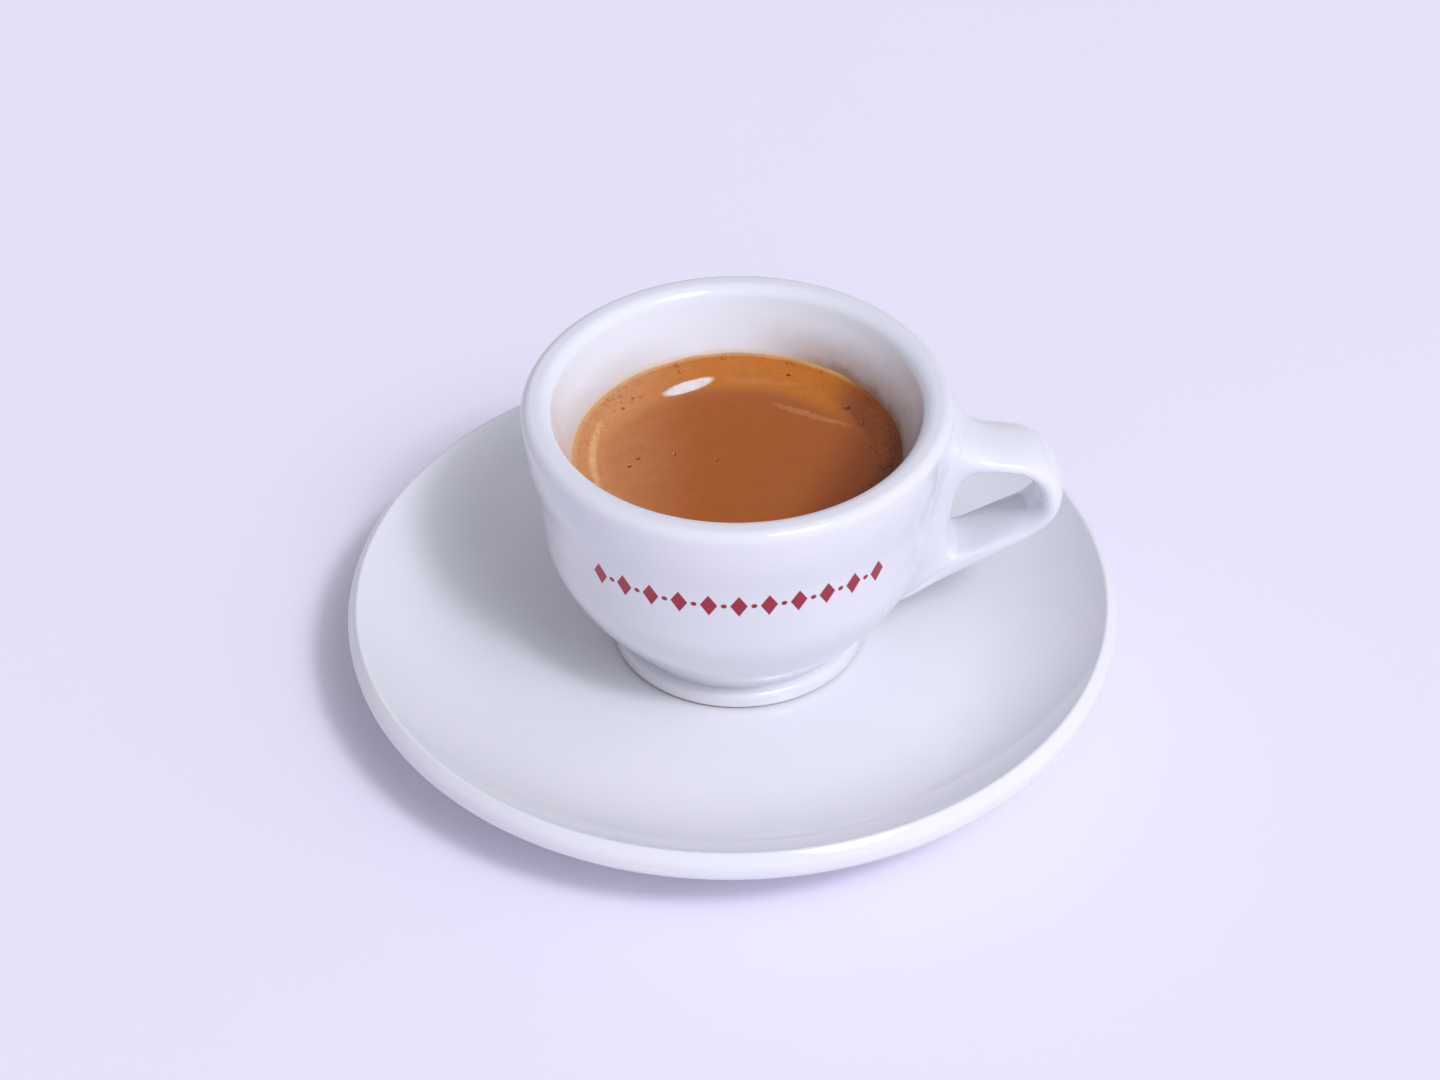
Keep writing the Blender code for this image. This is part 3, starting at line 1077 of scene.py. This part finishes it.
@dataclass
class Cup:
    """A thick-walled espresso cup with a foot ring. Heights off the underside of its foot."""

    off_centre: float = 1.0 * MM
    base: float = 9.0 * MM
    height: float = 45.5 * MM
    lip_outside: float = 32.9 * MM
    lip_inside: float = 28.8 * MM
    lip_outer_round: float = 1.6 * MM
    lip_inner_round: float = 2.4 * MM
    foot_outside: float = 20.1 * MM
    foot_inside: float = 16.8 * MM
    foot_height: float = 2.5 * MM
    foot_depth: float = 1.8 * MM
    foot_round: float = 0.5 * MM
    groove_radius: float = 18.6 * MM
    groove_rise: float = 0.4 * MM
    floor: float = 5.9 * MM
    body: tuple[Pair, ...] = (
        (3.5, 18.9),
        (8.0, 22.6),
        (14.0, 27.0),
        (20.0, 29.7),
        (26.0, 30.4),
        (32.0, 31.1),
        (38.0, 32.4),
        (43.0, 32.9),
    )
    inside: tuple[Pair, ...] = (
        (6.5, 9.0),
        (9.0, 15.2),
        (14.0, 19.6),
        (21.0, 22.7),
        (28.0, 24.4),
        (35.0, 25.4),
        (40.0, 26.9),
        (43.2, 28.0),
    )
    steps: int = 256
    handle: Handle = field(default_factory=Handle)

    @property
    def centre(self) -> Vector:
        """The middle of the cup's foot, in the part's frame."""
        return Vector((self.off_centre, 0, self.base))

    def outline(self) -> Outline:
        """From the axis under the cup, round its foot and lip, to the axis inside."""
        foot = [
            (self.foot_inside - self.foot_depth / 2, self.foot_depth),
            (self.foot_inside, 0),
            (self.foot_outside, 0),
            (self.foot_outside, self.foot_height),
            (self.groove_radius, self.foot_height + self.groove_rise),
        ]
        line = Outline((0, self.foot_depth), foot[0])
        line.corner(foot[0], foot[1], foot[2], self.foot_round, 5)
        line.corner(foot[1], foot[2], foot[3], self.foot_round, 5)
        line.corner(foot[2], foot[3], foot[4], 2 * self.foot_round, 8)
        body, inside = by_radius(self.body), by_radius(self.inside)
        outer, inner = (self.lip_outside, self.height), (self.lip_inside, self.height)
        line.to(foot[4]).curve(body, 7)
        line.corner(body[-1], outer, inner, self.lip_outer_round, 14)
        line.corner(outer, inner, inside[-1], self.lip_inner_round, 12)
        return line.curve(inside, 7, backwards=True).to((0, self.floor))

    def radius_at(self, stations: tuple[Pair, ...], height: float) -> float:
        """Radius of a side at a height."""
        points = fine_side(stations)
        for low, high in zip(points, points[1:]):
            if low.y <= height <= high.y:
                return low.x + (high.x - low.x) * (height - low.y) / (high.y - low.y)
        return points[0].x if height < points[0].y else points[-1].x

    def clearance(self, point: Vector) -> float:
        """Distance of a point outside the wall, less than nothing inside it."""
        span = 0.5 * MM
        rise = self.radius_at(self.body, point.z + span) - self.radius_at(self.body, point.z - span)
        level = math.cos(math.atan2(rise, 2 * span))
        return (math.hypot(point.x, point.y) - self.radius_at(self.body, point.z)) * level

    def build(self) -> bpy.types.Object:
        """Turn the bowl, unite the handle with it and glaze them."""
        piece = piece_of("glazed_cup", turned(self.outline(), self.steps), self.centre)
        handle = piece_of("handle", self.handle.shape(self.clearance), self.centre)
        united(piece, handle)
        soften(piece.data, BLENDED_ANGLE)
        return dressed(piece, CupGlaze("cup_glaze", self.centre).mix(), Solid.CUP)


@dataclass(frozen=True)
class Pit:
    """A burst bubble in the foam: its place off the cup's axis, its radius and depth, in mm."""

    x: float
    y: float
    radius: float
    depth: float = 0.3
    flat_share: float = 0.35
    margin: float = 0.5

    def share(self, point: Vector) -> float:
        """How deep a point lies in the pit, 1 at its middle and 0 outside it."""
        off = math.hypot(point.x / MM - self.x, point.y / MM - self.y) / self.radius
        return 1 - step(off, self.flat_share, 1.0)

    def beside(self, point: Vector) -> bool:
        """Whether a point lies in the pit or next to it."""
        off = math.hypot(point.x / MM - self.x, point.y / MM - self.y)
        return off < self.radius + self.margin


@dataclass
class Espresso:
    """The drink up to its foam, whose edge climbs the wall a little. Heights off the cup's foot."""

    cup: Cup
    level: float = 34.6 * MM
    into_wall: float = 0.25 * MM
    climb: float = 0.28 * MM
    climb_reach: float = 1.0 * MM
    swell: float = 0.18 * MM
    swell_radii: Pair = (17.0 * MM, 22.5 * MM)
    ripple: float = 0.05 * MM
    ripple_size: float = 4.5 * MM
    fray: float = 0.5
    fray_waves: float = 9.0
    pit_cuts: int = 3
    rings: int = 110
    steps: int = 360
    pits: Sequence[Pit] = (
        Pit(17.2, 11.4, 0.62, 0.5),
        Pit(19.4, 7.3, 0.55, 0.4),
        Pit(-16.6, -2.6, 0.45),
        Pit(-15.3, -0.7, 0.45),
        Pit(-9.7, 0.2, 0.4, 0.2),
        Pit(-3.1, -1.4, 0.4, 0.2),
        Pit(-17.9, 11.7, 0.45),
        Pit(-16.3, 14.2, 0.35),
        Pit(8.2, 20.0, 0.5),
        Pit(23.5, -6.4, 0.4),
    )

    def outline(self) -> Outline:
        """From the axis at the bottom, up just inside the wall, and back over the foam."""
        line = Outline((0, self.cup.floor - self.into_wall))
        for point in smooth_line(by_radius(self.cup.inside), 6):
            if point.y < self.level - self.into_wall:
                line.to((point.x + self.into_wall, point.y))
        edge = self.edge + self.into_wall
        return line.to(*((edge * (1 - k / self.rings), self.level) for k in range(self.rings + 1)))

    @cached_property
    def edge(self) -> float:
        """Radius of the foam at the wall."""
        return self.cup.radius_at(self.cup.inside, self.level)

    @property
    def crema(self) -> Crema:
        """The foam's finish."""
        return Crema(self.cup.centre, self.edge / MM)

    def pit_share(self, point: Vector) -> float:
        """How deep a point lies in any pit."""
        return max(pit.share(point) for pit in self.pits)

    def lift(self, point: Vector) -> float:
        """How far the foam stands over its level at a point."""
        radius = math.hypot(point.x, point.y)
        ragged = 1 + self.fray * noise.noise(point.normalized() * self.fray_waves)
        lift = self.climb * ragged * math.exp(min(0.0, radius - self.edge) / self.climb_reach)
        lift += self.swell * step(radius, *self.swell_radii)
        lift += self.ripple * noise.noise(Vector((point.x, point.y, 0)) / self.ripple_size)
        depth = max((pit.depth * pit.share(point) for pit in self.pits), default=0.0)
        return lift - depth * MM

    def shape(self) -> bmesh.types.BMesh:
        """Turn the drink, then raise, ripple and pit its foam."""
        shape = turned(self.outline(), self.steps)
        near = self.into_wall / 2
        top = [v for v in shape.verts if abs(v.co.z - self.level) < near]
        close = {v for v in top if any(pit.beside(v.co) for pit in self.pits)}
        edges = [e for e in shape.edges if close.issuperset(e.verts)]
        bmesh.ops.subdivide_edges(shape, edges=edges, cuts=self.pit_cuts, use_grid_fill=True)
        share = shape.verts.layers.float.new("pit")
        for vert in shape.verts:
            if abs(vert.co.z - self.level) < near:
                vert[share] = self.pit_share(vert.co)
                vert.co.z += self.lift(vert.co)
        return shape

    def build(self) -> bpy.types.Object:
        """Pour the drink and give it its foam."""
        piece = piece_of("poured_espresso", self.shape(), self.cup.centre)
        return dressed(piece, self.crema.mix(), Solid.ESPRESSO)


@dataclass
class Bubbles:
    """Small whole bubbles that the pour left along the wall, half sunk in the foam, in mm."""

    espresso: Espresso
    count: int = 150
    seed: int = 7
    radii: Pair = (0.14, 0.42)
    band: Pair = (0.5, 4.2)
    lean: Pair = (150.0, -35.0)
    spread: float = 42.0
    small_bias: int = 3
    wall_bias: int = 2
    segments: tuple[int, int] = (9, 6)

    def build(self) -> bpy.types.Object:
        """Scatter the bubbles and give them the foam's finish."""
        espresso = self.espresso
        small, large = self.radii
        near, far = self.band
        draw = Random(self.seed)
        shape = bmesh.new()
        for number in range(self.count):
            turn = math.radians(draw.gauss(self.lean[number % len(self.lean)], self.spread))
            size = small + (large - small) * draw.random() ** self.small_bias
            inset = size + near + (far - near) * draw.random() ** self.wall_bias
            spot = Vector((math.cos(turn), math.sin(turn), 0)) * (espresso.edge - inset * MM)
            spot.z = espresso.level + espresso.lift(spot)
            bmesh.ops.create_uvsphere(
                shape,
                u_segments=self.segments[0],
                v_segments=self.segments[1],
                radius=size * MM,
                matrix=Matrix.Translation(spot),
            )
        piece = piece_of("foam_bubbles", shape, espresso.cup.centre)
        return dressed(piece, espresso.crema.mix(), Solid.ESPRESSO, instead=False)


def aimed(item: bpy.types.Object, eye: Vector, aim: Vector, roll: float = 0.0) -> bpy.types.Object:
    """Put a lamp or a camera at `eye`, looking at `aim`, turned about its own line of sight."""
    look = (aim - eye).to_track_quat("-Z", "Y").to_matrix().to_4x4()
    item.matrix_world = Matrix.Translation(eye) @ look @ Matrix.Rotation(roll, 4, "Z")
    bpy.context.scene.collection.objects.link(item)
    return item


def towards(azimuth: float, elevation: float) -> Vector:
    """Unit vector at an azimuth from +X and an elevation, both in degrees."""
    a, e = math.radians(azimuth), math.radians(elevation)
    return Vector((math.cos(a) * math.cos(e), math.sin(a) * math.cos(e), math.sin(e)))


@dataclass(frozen=True)
class Lamp:
    """A round soft light, seen from the set at an azimuth and elevation in degrees."""

    name: str
    azimuth: float
    elevation: float
    distance: float
    size: float
    power: float
    tint: Colour = (0.95, 0.95, 1.06)
    glint: bool = False

    def hang(self, aim: Vector) -> None:
        """Light the set from here, or only put glints on what is glossy."""
        light = bpy.data.lights.new(self.name, "AREA")
        light.shape = "DISK"
        light.size = self.size
        light.energy = self.power
        light.color = self.tint
        item = aimed(
            bpy.data.objects.new(self.name, light),
            aim + self.distance * towards(self.azimuth, self.elevation),
            aim,
        )
        item.visible_camera = False
        item.visible_diffuse = not self.glint


@dataclass
class Studio:
    """The floor, the soft light and the camera."""

    aim: Vector = field(default_factory=lambda: Vector((-1.83, 0.0, 26.46)) * MM)
    camera_azimuth: float = -89.75
    camera_elevation: float = 39.91
    camera_distance: float = 549.4 * MM
    camera_roll: float = -0.70
    lens: float = 87.5
    floor_size: float = 6.0
    ambient: Colour = (0.95, 0.95, 1.06)
    ambient_strength: float = 0.44
    ambient_from: Vector = field(default_factory=lambda: Vector((0.75, -0.60, 0.28)))
    ambient_lean: float = 0.72
    lamps: Sequence[Lamp] = (
        Lamp("wide_box", -52.0, 50.5, 8.1, 3.65, 190.0),
        Lamp("box_core", -52.0, 50.5, 7.9, 1.24, 181.0),
        Lamp("glint", -52.0, 50.5, 7.7, 3.0, 330.0, glint=True),
    )

    def build(self) -> None:
        """Set up everything round the object."""
        self.lay_floor()
        self.light()
        self.set_camera()

    def lay_floor(self) -> None:
        """Lay the pale floor under the saucer's foot."""
        shape = bmesh.new()
        bmesh.ops.create_grid(shape, x_segments=8, y_segments=8, size=self.floor_size)
        mesh = bpy.data.meshes.new("floor")
        shape.to_mesh(mesh)
        shape.free()
        mesh.materials.append(Paper().mix())
        floor = bpy.data.objects.new("floor", mesh)
        bpy.context.scene.collection.objects.link(floor)

    def light(self) -> None:
        """Hang the lamps in an even pale surround."""
        world = bpy.data.worlds.new("surround")
        recipe = Recipe(world, "Background")
        direction = recipe.node("ShaderNodeTexCoord", output="Generated")
        brightest = tuple(self.ambient_from.normalized())
        lean = recipe.vectors("DOT_PRODUCT", direction, brightest, output="Value")
        strength = (lean * self.ambient_lean + 1) * self.ambient_strength
        recipe.feed(recipe.shader.inputs["Color"], self.ambient)
        recipe.feed(recipe.shader.inputs["Strength"], strength)
        bpy.context.scene.world = world
        for lamp in self.lamps:
            lamp.hang(self.aim)

    def set_camera(self) -> None:
        """Set the camera at the photograph's place and let pale tones stay as they are."""
        lens = bpy.data.cameras.new("camera")
        lens.lens = self.lens
        lens.clip_start = 10 * MM
        eye = self.aim + self.camera_distance * towards(self.camera_azimuth, self.camera_elevation)
        camera = bpy.data.objects.new("camera", lens)
        bpy.context.scene.camera = aimed(camera, eye, self.aim, math.radians(self.camera_roll))
        bpy.context.scene.view_settings.view_transform = "Standard"


def main() -> None:
    """Build the set piece by piece, then the studio round it."""
    logging.basicConfig(level=logging.INFO, format="%(message)s")
    cup = Cup()
    Saucer().build()
    cup.build()
    espresso = Espresso(cup)
    espresso.build()
    Bubbles(espresso).build()
    Studio().build()


if __name__ == "__main__":
    main()
